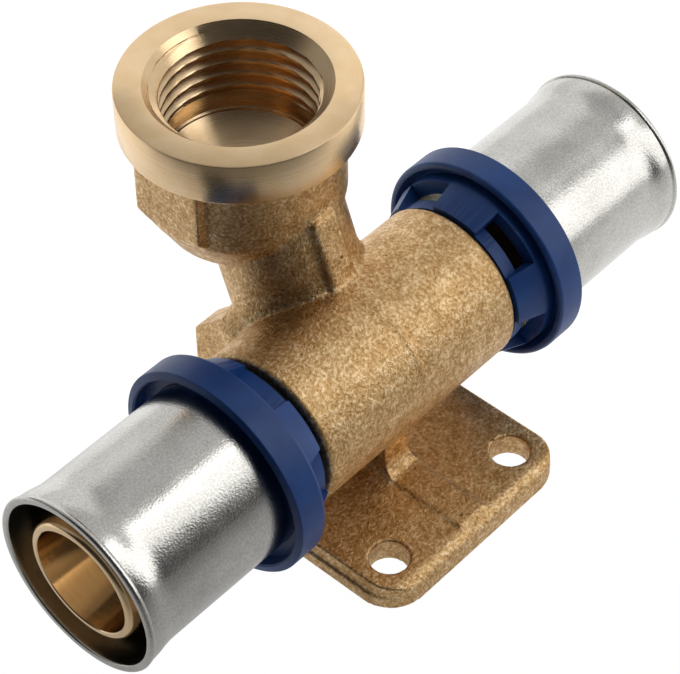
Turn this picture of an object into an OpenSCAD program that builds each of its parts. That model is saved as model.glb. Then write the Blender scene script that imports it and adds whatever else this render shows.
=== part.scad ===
// Double wall plate: a cast brass elbow on a screw plate, with a threaded outlet
// and two in-line press ends for 20 mm multilayer pipe.
// Lengths are in millimetres. The wall is the plane Z = 0, the pipes run along X
// over the point X = Y = 0, and the outlet stands off towards +Y and faces +Z.

/* [Wall plate] */
// Width of the plate along the pipes
plate_w = 32.6; // [30:0.2:38]
// Distance from the pipe axis to the plate's front edge
plate_front = 20; // [18.5:0.5:26]
// Distance from the pipe axis to the plate's back edge
plate_back = 10; // [6:0.5:14]
// Thickness of the plate
plate_t = 3.5; // [2.5:0.1:5]
// Radius of the plate's corners
plate_corner_r = 5; // [2:0.5:8]
// Radius of the long edges on the room side
plate_edge_r = 1.8; // [0.5:0.1:2.2]
// Sideways step between the two halves of the mould
mould_step = 0.5; // [0.2:0.1:1]
// Diameter of the screw holes
screw_d = 5; // [4:0.1:6]
// Distance between the screw holes
screw_spacing = 22.6; // [18:0.2:24]
// Distance from the pipe axis to the row of screw holes
screw_row = 14.8; // [13:0.2:16]
// Height of the cast strip that runs forward on the plate
strip_h = 0.3; // [0.1:0.1:1]

/* [Web] */
// Thickness of the web between the plate, the tube and the neck
web_t = 4.4; // [3:0.2:6]
// Distance from the pipe axis to the web's front edge under the tube
web_front = 6; // [4:0.5:8]
// Distance from the pipe axis to the web's upright back edge
foot_reach = 26.4; // [24:0.2:30]
// Height of the upright back edge over the wall
foot_h = 7.5; // [5:0.5:10]
// Radius of the fillets at the web's foot
foot_fillet = 2.6; // [1:0.2:4]

/* [Tube] */
// Height of the pipe axis over the wall
axis_h = 19.5; // [18:0.5:26]
// Outer diameter of the cast tube
tube_d = 21.3; // [20.8:0.1:24]
// Length of the cast tube
tube_l = 33.2; // [32:0.2:40]
// Rounding of the tube's two ends
tube_edge = 0.4; // [0.1:0.1:1]
// Diameter of the waterway through the tube and the nipples
water_d = 11.6; // [10:0.2:12]

/* [Neck] */
// Diameter of the cast neck
neck_d = 16.8; // [16:0.2:18]
// Lean of the neck away from the wall's normal
neck_tilt = 20; // [12:1:24]
// How far the neck's axis meets the outlet's floor short of the outlet axis
neck_short = 5.45; // [4:0.25:7]
// Diameter of the passage inside the neck
passage_d = 10.4; // [8:0.2:11]
// Radius of the fillet at the neck's root
root_r = 6; // [3:0.5:8]
// Angle that this fillet turns through
root_sweep = 58; // [40:2:70]
// Thickness of the fillet's outer edge
root_edge = 1.5; // [0.8:0.1:2]
// How far that fillet starts up the neck from the pipe axis
root_top = 10; // [9:0.25:11]
// Height of the elbow's shoulders over the tube
shoulder_h = 3.8; // [2:0.2:5]
// Width of the raised seam on the neck's front
seam_w = 4; // [2:0.5:6]
// Height of the raised seam
seam_h = 0.6; // [0.2:0.05:0.8]
// Height of the web's fin on the neck's back
fin_h = 0.8; // [0.2:0.1:1.5]

/* [Outlet] */
// Height of the outlet's face over the wall
outlet_h = 52; // [50:0.5:60]
// Distance from the pipe axis to the outlet axis
outlet_offset = 18.5; // [17:0.5:22]
// Outer diameter of the turned ring
ring_d = 29; // [28:0.5:33]
// Height of the turned ring
ring_h = 5.8; // [4:0.2:8]
// Chamfer on the ring's two edges
ring_chamfer = 0.35; // [0.1:0.05:0.6]
// Diameter of the cast cup under the ring
cup_d = 25; // [24.4:0.2:26.4]
// Distance from the outlet's face to the cup's lower edge
cup_h = 16.3; // [15:0.1:17]
// Rounding of the cup's lower edge
cup_edge_r = 1; // [0.4:0.1:1.6]
// Distance across the two flat pads on the cup
pad_across = 25.4; // [25.2:0.2:27]
// Width of each pad
pad_w = 10.3; // [8:0.1:12]
// Height over the cup's lower edge at which the pads' sloped feet leave the cup
pad_foot = 1.1; // [0.6:0.1:3]
// How much wider than the smooth bore the cup's rounded underside starts
bowl_wall = 0.7; // [0.4:0.1:1.5]
// Diameter of the countersink at the mouth
mouth_d = 22.3; // [21.6:0.1:24]
// Diameter of the thread at its root
thread_d = 20.96; // [20.5:0.02:21.4]
// Depth of the thread
thread_l = 10.6; // [9:0.1:11.5]
// Diameter of the runout groove under the thread
runout_d = 21.8; // [21.6:0.1:22.4]
// Width of the runout groove
runout_w = 1.6; // [1:0.1:2.2]
// Length of the slope from the thread into the runout groove
runout_slope = 0.3; // [0.1:0.1:0.6]
// Chamfer at the top of the smooth bore
bore_chamfer = 0.5; // [0.2:0.1:1]
// Diameter of the smooth bore under the thread
floor_d = 18.2; // [16:0.1:18.6]
// Depth of the smooth bore under the outlet's face
floor_depth = 18.2; // [17:0.1:19]
// Thickness of the cup's floor
floor_t = 2; // [1.5:0.1:3]

/* [Nipples] */
// Diameter of the nipples, the inner diameter of the pipe
nipple_d = 16; // [15.4:0.1:16.6]
// Distance from the middle to the nipples' tips
nipple_reach = 46.6; // [45:0.2:50]
// Diameter of the tapered mouth
tip_bore_d = 13.9; // [12.5:0.1:14.4]
// Length of the tapered mouth
tip_bore_l = 6; // [3:0.5:8]
// Thickness of the seals' cord
seal_cord = 1.8; // [1.6:0.1:2]
// Depth of the seal grooves
seal_depth = 1.25; // [1:0.05:1.4]
// Distance from the middle to the first seal
seal_first = 28; // [26:0.2:30]
// Distance between the two seals
seal_pitch = 6.5; // [5:0.5:8]
// Height of the holding ridges
ridge_h = 0.3; // [0.1:0.05:0.5]
// Length of one holding ridge
ridge_l = 1.6; // [1:0.1:1.8]
// Length of the flat crest on a ridge
ridge_crest = 0.2; // [0.1:0.05:0.4]
// Distance from the outer seal's groove to the first ridge
ridge_start = 1; // [0.5:0.1:1.5]
// Length of the chamfer on the nipple's tip
tip_edge_l = 0.5; // [0.2:0.1:1]
// Depth of the chamfer on the nipple's tip
tip_edge_h = 0.35; // [0.1:0.05:0.5]

/* [Press sleeves] */
// Outer diameter of the sleeves
sleeve_d = 22.6; // [22.2:0.1:23]
// Wall of the sleeves
sleeve_t = 0.8; // [0.6:0.05:1]
// Distance from the middle to the sleeves' outer ends
sleeve_reach = 47.3; // [46:0.2:52]
// Diameter over the flared lip
flare_d = 24.1; // [23.4:0.1:25]
// Length of the S-shaped bend before the lip
flare_l = 4.4; // [3:0.2:6]
// Width of the lip
lip_w = 0.8; // [0.6:0.05:1.2]
// Height of the lip over the bend
lip_h = 0.25; // [0.1:0.05:0.35]
// Chamfer on the lip's edges
lip_edge = 0.2; // [0.1:0.05:0.25]

/* [Retaining rings] */
// Distance from the middle to the rings' inner faces
hub_in = 17.5; // [17.2:0.1:19]
// Outer diameter over the teeth at the ring's inner face
tooth_d = 22.4; // [22:0.1:23.6]
// Outer diameter over the outer ends of the teeth
hub_d = 24.3; // [24:0.1:25]
// Outer diameter of the low wall between the teeth
low_wall_d = 20.7; // [20.5:0.1:21.8]
// Length of the teeth
tooth_l = 2.9; // [2.4:0.1:3.4]
// Thickness of the low wall
low_wall_t = 1.1; // [0.6:0.1:1.4]
// Number of teeth
teeth = 5; // [3:1:8]
// Thickness of the wall between the windows and the sleeve's end
socket_wall = 0.5; // [0.3:0.1:0.8]
// Share of the circle that the teeth cover
tooth_share = 0.5; // [0.3:0.05:0.7]
// Length of the hub from its inner face to the web
hub_l = 5.1; // [4.6:0.1:5.8]
// Thickness of the web that carries the band
rim_web_t = 1; // [0.8:0.1:1.6]
// Outer diameter of the band
band_d = 28; // [27.4:0.1:30]
// Wall of the band
band_t = 1.15; // [0.9:0.05:1.4]
// Width of the band
band_w = 4.3; // [3.6:0.1:6]
// How far the band reaches past the web
band_over = 1.9; // [1.5:0.1:2.5]
// Chamfer on the band's edges
band_edge = 0.25; // [0.1:0.05:0.4]
// Length of the slope down to the sleeve's side of the band
band_slope = 0.3; // [0.1:0.1:1.4]
// Angle of a tooth's middle on the left ring
left_turn = 134.5; // [0:0.5:180]
// Angle of a tooth's middle on the right ring
right_turn = 91.5; // [0:0.5:180]

/* [Clearances] */
// Clearance around the nipples' shanks
shank_gap = 0.05; // [0.02:0.01:0.2]
// Clearance between a sleeve and its socket
socket_gap = 0.05; // [0.02:0.01:0.2]
// Play of a seal's cord in its groove
groove_play = 0.7; // [0.4:0.1:1]
// Clearance around the pipe that is pushed in
pipe_gap = 0.2; // [0.1:0.05:0.4]
// Outer diameter of the pipe
pipe_d = 20; // [19.6:0.1:20.4]

/* [Washers] */
// Outer diameter of the insulating washers
washer_d = 18.8; // [17.4:0.1:20]

/* [Hidden] */
$fn = 96;
EPS = 0.01;
LEFT = -1;
RIGHT = 1;
brass = "peru";
steel = "silver";
blue = "royalblue";
black = "dimgray";

tube_end = tube_l / 2;
upper_w = plate_w - 2 * mould_step;
floor_z = outlet_h - floor_depth;
neck_top_y = outlet_offset - neck_short;
elbow_y = neck_top_y - (floor_z - axis_h) * tan(neck_tilt);
neck_l = (floor_z - axis_h) / cos(neck_tilt);
cup_floor_z = floor_z - floor_t;
ball_extra = 0.3;
groove_w = seal_cord + groove_play;
groove_r = nipple_d / 2 - seal_depth;
tooth_angle = 360 / teeth * tooth_share;
gap_angle = 360 / teeth - tooth_angle;
pipe_bore = pipe_d / 2 + pipe_gap;
socket_in = hub_in + tooth_l + socket_wall;
socket_r = sleeve_d / 2 + socket_gap;
web_in = hub_in + hub_l;
band_out = web_in + rim_web_t + band_over;
band_in = band_out - band_w;
band_bore = band_d / 2 - band_t;
flange_r = nipple_d / 2 + shank_gap;
window_x = hub_in + low_wall_t;
teeth_end = hub_in + tooth_l;

// Points on an arc from angle a to angle b, as [first, second] coordinates
function arc(cx, cy, r, a, b, steps = 8) =
    [for (i = [0:steps]) [cx + r * cos(a + (b - a) * i / steps), cy + r * sin(a + (b - a) * i / steps)]];

// Turns a profile of [radius, distance from the middle] about the pipe axis
module turned(side) {
    translate([0, 0, axis_h])
        rotate([0, 90 * side, 0])
            rotate_extrude()
                children();
}

// Moves a shape into the neck's own frame: its axis is Z and starts at the elbow
module along_neck() {
    translate([0, elbow_y, axis_h])
        rotate([-neck_tilt, 0, 0])
            children();
}

module rounded_rect(w, y0, y1, r) {
    translate([-w / 2 + r, y0])
        square([w - 2 * r, y1 - y0]);
    translate([-w / 2, y0 + r])
        square([w, y1 - y0 - 2 * r]);
    for (x = [-w / 2 + r, w / 2 - r], y = [y0 + r, y1 - r])
        translate([x, y])
            circle(r = r);
}

// Section across the plate with its two upper corners rounded
module soft_top(a, b, r) {
    translate([a, -EPS])
        square([b - a, plate_t - r + EPS]);
    translate([a + r, 0])
        square([b - a - 2 * r, plate_t]);
    for (x = [a + r, b - r])
        translate([x, plate_t - r])
            circle(r = r);
}

module plate() {
    intersection() {
        union() {
            linear_extrude(plate_t / 2)
                rounded_rect(plate_w, -plate_front, plate_back, plate_corner_r);
            linear_extrude(plate_t)
                rounded_rect(upper_w, -plate_front, plate_back, plate_corner_r - mould_step);
        }
        rotate([90, 0, 90])
            linear_extrude(plate_w + 2, center = true)
                soft_top(-plate_front, plate_back, plate_edge_r);
    }
    translate([-web_t / 2, plate_edge_r - plate_front, 0])
        cube([web_t, plate_front - plate_edge_r, plate_t + strip_h]);
}

// Upright web in the middle plane, from under the tube to the foot behind the neck
module web() {
    foot_y = -web_front - foot_fillet;
    rotate([90, 0, 90])
        linear_extrude(web_t, center = true)
            difference() {
                polygon([
                    [foot_y, 0], [foot_reach, 0], [foot_reach, foot_h],
                    [elbow_y, foot_h + foot_reach - elbow_y], [0, axis_h],
                    [-web_front, axis_h], [-web_front, plate_t + foot_fillet],
                    [foot_y, plate_t + foot_fillet]
                ]);
                translate([foot_y, plate_t + foot_fillet])
                    circle(r = foot_fillet);
            }
    for (side = [LEFT, RIGHT])
        web_fillet(side);
}

// Fillet between one face of the web and the plate
module web_fillet(side) {
    r = foot_fillet / 2;
    x = side * web_t / 2;
    translate([0, -web_front - foot_fillet / 2, 0])
        rotate([-90, 0, 0])
            linear_extrude(web_front + foot_fillet / 2 + plate_back - plate_edge_r)
                difference() {
                    translate([side > 0 ? x - EPS : x - r, -plate_t - r])
                        square([r + EPS, r + EPS]);
                    translate([x + side * r, -plate_t - r])
                        circle(r = r);
                }
}

module tube() {
    r = tube_d / 2;
    turned(RIGHT)
        polygon([
            [0, -tube_end], [r - tube_edge, -tube_end], [r, tube_edge - tube_end],
            [r, tube_end - tube_edge], [r - tube_edge, tube_end], [0, tube_end]
        ]);
}

// Leaning neck with the seam on its front and the web's fin on its back
module neck() {
    r = neck_d / 2;
    along_neck() {
        cylinder(r = r, h = neck_l + floor_t);
        translate([-seam_w / 2, -r - seam_h, 0])
            cube([seam_w, r, neck_l + floor_t]);
        translate([-web_t / 2, 0, 0])
            cube([web_t, r + fin_h, neck_l]);
    }
    translate([0, elbow_y, axis_h])
        sphere(r = r + ball_extra);
    neck_root();
}

// Fillet between the neck and the tube, cut back to two shoulders behind the tube
module neck_root() {
    r = neck_d / 2;
    wide = r + root_r * (1 - cos(root_sweep));
    low = root_top - root_r * sin(root_sweep);
    under = [wide - root_edge * cos(root_sweep), low - root_edge * sin(root_sweep)];
    intersection() {
        along_neck()
            rotate_extrude()
                polygon(concat(
                    [[0, 0], [r, 0], under],
                    arc(r + root_r, root_top, root_r, 180 + root_sweep, 180),
                    [[0, root_top]]
                ));
        turned(RIGHT)
            translate([0, -tube_end + tube_edge])
                square([tube_d / 2 + shoulder_h, tube_l - 2 * tube_edge]);
    }
}

// Cast cup, its two flat pads and the turned ring on top
module outlet_outside() {
    cup_r = cup_d / 2;
    edge_z = outlet_h - cup_h;
    ring_z = outlet_h - ring_h;
    bowl_r = floor_d / 2 + bowl_wall;
    cone_h = pad_across / 2 + pad_w;
    c = ring_chamfer;
    translate([0, outlet_offset, 0]) {
        rotate_extrude()
            polygon(concat(
                [[0, cup_floor_z], [bowl_r, cup_floor_z]],
                arc(cup_r - cup_edge_r, edge_z + cup_edge_r, cup_edge_r, -50, 0),
                [[cup_r, ring_z + EPS], [0, ring_z + EPS]]
            ));
        intersection() {
            translate([-pad_across / 2, -pad_w / 2, edge_z])
                cube([pad_across, pad_w, ring_z - edge_z + EPS]);
            rotate_extrude()
                translate([0, edge_z + pad_foot - cup_r])
                    polygon([[0, 0], [cone_h, cone_h], [0, cone_h]]);
        }
        rotate_extrude()
            polygon([
                [0, ring_z], [ring_d / 2 - c, ring_z], [ring_d / 2, ring_z + c],
                [ring_d / 2, outlet_h - c], [ring_d / 2 - c, outlet_h], [0, outlet_h]
            ]);
    }
}

// Mouth, thread root, runout groove, smooth bore and drilled floor of the outlet
module outlet_inside() {
    top = outlet_h;
    lead = (mouth_d - thread_d) / 2;
    groove_z = top - thread_l;
    step_z = groove_z - runout_w;
    translate([0, outlet_offset, 0])
        rotate_extrude()
            polygon([
                [0, top + 1], [mouth_d / 2, top + 1], [mouth_d / 2, top],
                [thread_d / 2, top - lead], [thread_d / 2, groove_z],
                [runout_d / 2, groove_z - runout_slope], [runout_d / 2, step_z],
                [floor_d / 2 + bore_chamfer, step_z], [floor_d / 2, step_z - bore_chamfer],
                [floor_d / 2, floor_z], [0, floor_z]
            ]);
}

// Waterway: through the tube, up the neck and out into the outlet
module waterway() {
    turned(RIGHT)
        square([water_d / 2, nipple_reach + 1]);
    turned(LEFT)
        square([water_d / 2, nipple_reach + 1]);
    for (side = [LEFT, RIGHT])
        turned(side)
            polygon([
                [0, nipple_reach - tip_bore_l], [water_d / 2, nipple_reach - tip_bore_l],
                [tip_bore_d / 2, nipple_reach], [tip_bore_d / 2, nipple_reach + 1],
                [0, nipple_reach + 1]
            ]);
    translate([0, elbow_y, axis_h]) {
        sphere(r = passage_d / 2 + ball_extra);
        rotate([90, 0, 0])
            cylinder(d = passage_d, h = elbow_y);
    }
    along_neck()
        cylinder(d = passage_d, h = neck_l + passage_d / 2 * tan(neck_tilt));
}

// One nipple with its two seal grooves and its holding ridges, as a turned profile
module nipple(side) {
    r = nipple_d / 2;
    last = seal_first + seal_pitch;
    ridge_x = last + groove_w / 2 + ridge_start;
    turned(side)
        polygon(concat(
            [[0, tube_end - 1], [r, tube_end - 1]],
            [for (x = [seal_first, last], p = groove_points(x)) p],
            [for (i = [0:2], p = ridge_points(ridge_x + i * ridge_l)) p],
            [[r, nipple_reach - tip_edge_l], [r - tip_edge_h, nipple_reach], [0, nipple_reach]]
        ));
}

function groove_points(x) = [
    [nipple_d / 2, x - groove_w / 2], [groove_r, x - groove_w / 2],
    [groove_r, x + groove_w / 2], [nipple_d / 2, x + groove_w / 2]
];

function ridge_points(x) = [
    [nipple_d / 2 - ridge_h, x], [nipple_d / 2, x + ridge_l - ridge_crest],
    [nipple_d / 2, x + ridge_l]
];

// The casting is drawn as three solids that meet face to face: the body with both
// nipples, the neck with the outlet, and the foot that carries them on the wall.
module body() {
    color(brass)
        difference() {
            union() {
                tube();
                nipple(LEFT);
                nipple(RIGHT);
            }
            waterway();
        }
}

module neck_and_outlet() {
    color(brass)
        difference() {
            union() {
                neck();
                outlet_outside();
            }
            tube();
            outlet_inside();
            waterway();
        }
}

module wall_foot() {
    color(brass)
        difference() {
            union() {
                plate();
                web();
            }
            tube();
            neck();
            for (x = [-screw_spacing / 2, screw_spacing / 2])
                translate([x, -screw_row, -1])
                    cylinder(d = screw_d, h = plate_t + 2);
        }
}

// Thin steel sleeve: an S-shaped bend and a raised lip at its outer end, seated in the ring's socket
module press_sleeve(side) {
    r = sleeve_d / 2;
    lip_r = flare_d / 2;
    top_r = lip_r - lip_h;
    sweep = 2 * atan((top_r - r) / flare_l);
    bend = flare_l / (2 * sin(sweep));
    lip_x = sleeve_reach - lip_w;
    start = lip_x - flare_l;
    color(steel)
        turned(side)
            polygon(concat(
                [[r - sleeve_t, socket_in], [r, socket_in]],
                arc(r + bend, start, bend, 180, 180 - sweep),
                arc(top_r - bend, lip_x, bend, -sweep, 0),
                [
                    [lip_r, lip_x + lip_h], [lip_r, sleeve_reach - lip_edge],
                    [lip_r - lip_edge, sleeve_reach], [top_r - sleeve_t, sleeve_reach]
                ],
                arc(top_r - bend, lip_x, bend - sleeve_t, 0, -sweep),
                arc(r + bend, start, bend + sleeve_t, 180 - sweep, 180)
            ));
}

// Sector of a turned ring, from radius r0 to r1 and from x0 to x1
module sector(r0, r1, x0, x1, from, angle) {
    rotate([0, 0, from])
        rotate_extrude(angle = angle)
            translate([r0, x0])
                square([r1 - r0, x1 - x0]);
}

// Plastic ring: toothed hub with inspection windows, web, band and sleeve socket.
// turn is the angle of a tooth's middle, counted from +Y towards +Z.
module retaining_ring(side, turn) {
    color(blue)
        translate([0, 0, axis_h])
            rotate([turn, 0, 0])
                rotate([0, 90 * side, 0])
                    rotate([0, 0, 90])
                        difference() {
                            rotate_extrude()
                                ring_section();
                            for (i = [0:teeth - 1])
                                window(i * 360 / teeth + tooth_angle / 2);
                        }
}

// Section of the plastic ring as [radius, distance from the middle]
module ring_section() {
    band_r = band_d / 2;
    web_out = web_in + rim_web_t;
    polygon([
        [flange_r, hub_in], [tooth_d / 2, hub_in], [hub_d / 2, teeth_end], [hub_d / 2, web_in],
        [band_r - band_edge, band_in], [band_r, band_in + band_edge],
        [band_r, band_out - band_slope], [band_bore + band_edge, band_out],
        [band_bore, band_out - band_edge], [band_bore, web_out],
        [socket_r, web_out], [socket_r, socket_in],
        [pipe_bore, socket_in], [pipe_bore, window_x], [flange_r, window_x]
    ]);
}

// Gap between two teeth, open to the pipe behind the low wall
module window(from) {
    sector(low_wall_d / 2, hub_d, hub_in - 1, teeth_end, from, gap_angle);
    sector(flange_r + 1, hub_d, window_x, teeth_end, from, gap_angle);
}

module washer(side) {
    color(black)
        turned(side)
            translate([nipple_d / 2 + shank_gap, tube_end])
                square([(washer_d - nipple_d) / 2 - shank_gap, hub_in - tube_end]);
}

module seal(side, x) {
    color(black)
        turned(side)
            translate([groove_r + seal_cord / 2 + EPS, x])
                circle(d = seal_cord, $fn = 32);
}

body();
neck_and_outlet();
wall_foot();
press_sleeve(LEFT);  // left_sleeve
press_sleeve(RIGHT);  // right_sleeve
retaining_ring(LEFT, left_turn);  // left_retaining_ring
retaining_ring(RIGHT, right_turn);  // right_retaining_ring
washer(LEFT);  // left_washer
washer(RIGHT);  // right_washer
seal(LEFT, seal_first);  // left_inner_seal
seal(LEFT, seal_first + seal_pitch);  // left_outer_seal
seal(RIGHT, seal_first);  // right_inner_seal
seal(RIGHT, seal_first + seal_pitch);  // right_outer_seal
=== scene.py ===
"""Looks of a double wall plate: a cast brass elbow with a threaded outlet and two press ends."""

import logging
import math
from dataclasses import dataclass, field
from enum import Enum

import bpy
from mathutils import Matrix, Vector


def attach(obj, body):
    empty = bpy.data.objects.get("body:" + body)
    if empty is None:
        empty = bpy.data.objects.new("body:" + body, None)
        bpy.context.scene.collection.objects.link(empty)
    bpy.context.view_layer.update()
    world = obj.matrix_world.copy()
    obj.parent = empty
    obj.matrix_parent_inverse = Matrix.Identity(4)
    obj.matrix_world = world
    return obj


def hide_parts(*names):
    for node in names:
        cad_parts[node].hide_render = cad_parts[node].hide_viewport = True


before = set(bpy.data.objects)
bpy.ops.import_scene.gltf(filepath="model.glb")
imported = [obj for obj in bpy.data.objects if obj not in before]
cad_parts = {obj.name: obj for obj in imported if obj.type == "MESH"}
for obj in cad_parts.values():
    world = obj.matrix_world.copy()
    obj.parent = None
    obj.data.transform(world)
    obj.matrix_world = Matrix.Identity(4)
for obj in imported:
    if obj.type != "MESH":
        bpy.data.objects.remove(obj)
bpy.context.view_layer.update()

LOG = logging.getLogger("wall_plate")
Point = tuple[float, float, float]
Profile = list[tuple[float, float]]
Space = tuple[Point, Point]
EVERYWHERE: Space = ((-60.0, -60.0, -1.0), (60.0, 60.0, 60.0))


def mm(value: float) -> float:
    """Returns a length in millimetres as metres."""
    return value / 1000.0


class Side(Enum):
    """The two ends of the pipe run."""

    LEFT = -1
    RIGHT = 1

    @property
    def word(self) -> str:
        """Returns the side's name as used in node names."""
        return self.name.lower()


# ---------------------------------------------------------------- modelling


@dataclass(frozen=True)
class Lathe:
    """An axis that profiles are turned about, as on a lathe.

    A profile point is (radius, distance along the axis), in millimetres.
    """

    centre: Point
    axis: Point
    radial: Point

    def place(self, radius: float, along: float) -> Vector:
        """Returns the scene position of one profile point, in metres."""
        return (Vector(self.centre) + Vector(self.radial) * radius + Vector(self.axis) * along) / 1000.0

    def turn(self, name: str, profile: Profile, steps: int,
             angle: float = 360.0, start: float = 0.0) -> bpy.types.Object:
        """Draws a profile by extruding one vertex and spins it into a turned piece.

        Args:
            name: name of the new piece.
            profile: the points of the section, whose last one joins the first.
            steps: number of facets around the axis.
            angle: how far the section is spun, in degrees.
            start: angle that the section is first turned to, in degrees.

        Returns:
            The new mesh object.
        """
        piece = single_vertex(name, self.place(*profile[0]))
        points = profile + [profile[0]]
        for before, after in zip(points[:-1], points[1:]):
            step = self.place(*after) - self.place(*before)
            bpy.ops.mesh.extrude_region_move(TRANSFORM_OT_translate={"value": step})
        bpy.ops.mesh.select_all(action="SELECT")
        bpy.ops.mesh.remove_doubles(threshold=1e-7)
        bpy.ops.mesh.select_all(action="SELECT")
        centre = Vector(self.centre) / 1000.0
        if start:
            turn_selection(start, self.axis, centre)
        if angle < 360.0:
            bpy.ops.mesh.edge_face_add()
            bpy.ops.mesh.select_all(action="SELECT")
        # Spin turns against the right-hand rule.
        bpy.ops.mesh.spin(steps=steps, angle=-math.radians(angle), center=centre, axis=self.axis)
        bpy.ops.mesh.select_all(action="SELECT")
        bpy.ops.mesh.remove_doubles(threshold=2e-6)
        bpy.ops.mesh.select_all(action="SELECT")
        bpy.ops.mesh.normals_make_consistent(inside=False)
        bpy.ops.object.mode_set(mode="OBJECT")
        return piece


def clear_selection() -> None:
    """Leaves edit mode and deselects every object."""
    if bpy.context.object and bpy.context.object.mode != "OBJECT":
        bpy.ops.object.mode_set(mode="OBJECT")
    bpy.ops.object.select_all(action="DESELECT")


def activate(piece: bpy.types.Object) -> None:
    """Makes one object the only selected and the active one."""
    clear_selection()
    piece.select_set(True)
    bpy.context.view_layer.objects.active = piece


def single_vertex(name: str, at: Vector) -> bpy.types.Object:
    """Starts a piece from a plane that is merged to one vertex, and stays in edit mode.

    Args:
        name: name of the new piece.
        at: where the vertex is, in metres.

    Returns:
        The new mesh object, with its one vertex selected.
    """
    clear_selection()
    bpy.ops.mesh.primitive_plane_add(size=0.001, location=(0.0, 0.0, 0.0))
    piece = bpy.context.object
    piece.name = name
    piece.data.name = name
    bpy.ops.object.mode_set(mode="EDIT")
    bpy.ops.mesh.select_all(action="SELECT")
    bpy.ops.mesh.merge(type="CENTER")
    bpy.ops.mesh.select_all(action="SELECT")
    bpy.ops.transform.translate(value=at)
    return piece


def turn_selection(degrees: float, axis: Point, centre: Vector) -> None:
    """Turns what is selected in edit mode about an axis, by the right-hand rule.

    Args:
        degrees: angle to turn by.
        axis: direction of the axis.
        centre: a point on the axis, in metres.
    """
    about = Matrix.Rotation(math.radians(degrees), 4, Vector(axis))
    turn = Matrix.Translation(centre) @ about @ Matrix.Translation(-centre)
    bpy.ops.object.mode_set(mode="OBJECT")
    mesh = bpy.context.object.data
    for vertex in mesh.vertices:
        if vertex.select:
            vertex.co = turn @ vertex.co
    bpy.ops.object.mode_set(mode="EDIT")


def apply_modifier(piece: bpy.types.Object, kind: str, **settings: object) -> None:
    """Adds a modifier, by Blender's name for its type, with its settings and applies it."""
    activate(piece)
    modifier = piece.modifiers.new(kind.lower(), kind)
    for key, value in settings.items():
        setattr(modifier, key, value)
    bpy.ops.object.modifier_apply(modifier=modifier.name)


def cut(piece: bpy.types.Object, tool: bpy.types.Object) -> None:
    """Cuts a tool's solid out of a piece and removes the tool."""
    apply_modifier(piece, "BOOLEAN", operation="DIFFERENCE", object=tool, solver="EXACT")
    bpy.data.objects.remove(tool)


def solid_copy(node: str) -> bpy.types.Object:
    """Returns a closed copy of one node of the solid model."""
    clear_selection()
    piece = bpy.data.objects.new(node + "_copy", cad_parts[node].data.copy())
    bpy.context.scene.collection.objects.link(piece)
    piece.data.materials.clear()
    activate(piece)
    bpy.ops.object.mode_set(mode="EDIT")
    bpy.ops.mesh.select_all(action="SELECT")
    bpy.ops.mesh.remove_doubles(threshold=1e-6)
    bpy.ops.object.mode_set(mode="OBJECT")
    return piece


def join(pieces: list[bpy.types.Object]) -> bpy.types.Object:
    """Joins objects into the first one and returns it."""
    activate(pieces[0])
    for piece in pieces[1:]:
        piece.select_set(True)
    bpy.ops.object.join()
    return pieces[0]


def soften_casting(piece: bpy.types.Object, voxel: float, kept_share: float,
                   passes: list[tuple[Space, int]]) -> None:
    """Gives a solid the soft edges of a sand casting.

    Args:
        piece: the object to finish.
        voxel: size of the grid that it is made anew on, in millimetres.
        kept_share: share of the triangles that is kept.
        passes: a space by its low and high corner, in millimetres, and how often the vertices
            in it are smoothed.
    """
    apply_modifier(piece, "REMESH", mode="VOXEL", voxel_size=mm(voxel), use_smooth_shade=True)
    activate(piece)
    for (low, high), times_smoothed in passes:
        bpy.ops.object.mode_set(mode="EDIT")
        bpy.ops.mesh.select_all(action="DESELECT")
        bpy.ops.object.mode_set(mode="OBJECT")
        for vertex in piece.data.vertices:
            vertex.select = all(mm(low[i]) < vertex.co[i] < mm(high[i]) for i in range(3))
        bpy.ops.object.mode_set(mode="EDIT")
        bpy.ops.mesh.vertices_smooth(factor=0.5, repeat=times_smoothed)
        bpy.ops.object.mode_set(mode="OBJECT")
    apply_modifier(piece, "DECIMATE", ratio=kept_share)
    bpy.ops.object.shade_smooth()


def rounded_edges(piece: bpy.types.Object, width: float, segments: int, angle: float) -> None:
    """Rounds every edge sharper than an angle, as moulding leaves it.

    Args:
        piece: the object to finish.
        width: width of the rounding, in millimetres.
        segments: number of facets across it.
        angle: smallest angle between faces that counts as an edge, in degrees.
    """
    apply_modifier(piece, "BEVEL", width=mm(width), segments=segments, limit_method="ANGLE",
                   angle_limit=math.radians(angle), harden_normals=False, use_clamp_overlap=True)


def shade_smooth(piece: bpy.types.Object, angle: float) -> None:
    """Shades a piece smooth across edges flatter than an angle in degrees."""
    activate(piece)
    bpy.ops.object.shade_smooth_by_angle(angle=math.radians(angle))


def arc(cx: float, cy: float, radius: float, start: float, end: float, steps: int) -> Profile:
    """Returns points on an arc of a section, both ends included.

    Args:
        cx: first coordinate of the centre.
        cy: second coordinate of the centre.
        radius: radius of the arc.
        start: angle of the first point, in degrees.
        end: angle of the last point, in degrees.
        steps: number of segments.

    Returns:
        The points, from start to end.
    """
    angles = [math.radians(start + (end - start) * i / steps) for i in range(steps + 1)]
    return [(cx + radius * math.cos(a), cy + radius * math.sin(a)) for a in angles]


# ---------------------------------------------------------------- materials


def linear(code: str) -> tuple[float, float, float, float]:
    """Turns an sRGB hex colour into the linear values that shaders use, fully opaque."""
    channels = [int(code.lstrip("#")[i:i + 2], 16) / 255.0 for i in (0, 2, 4)]
    red, green, blue = [c / 12.92 if c <= 0.04045 else ((c + 0.055) / 1.055) ** 2.4 for c in channels]
    return (red, green, blue, 1.0)


def per_metre(size_mm: float) -> float:
    """Returns the texture scale that makes one cell of a pattern this many millimetres."""
    return 1000.0 / size_mm


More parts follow.
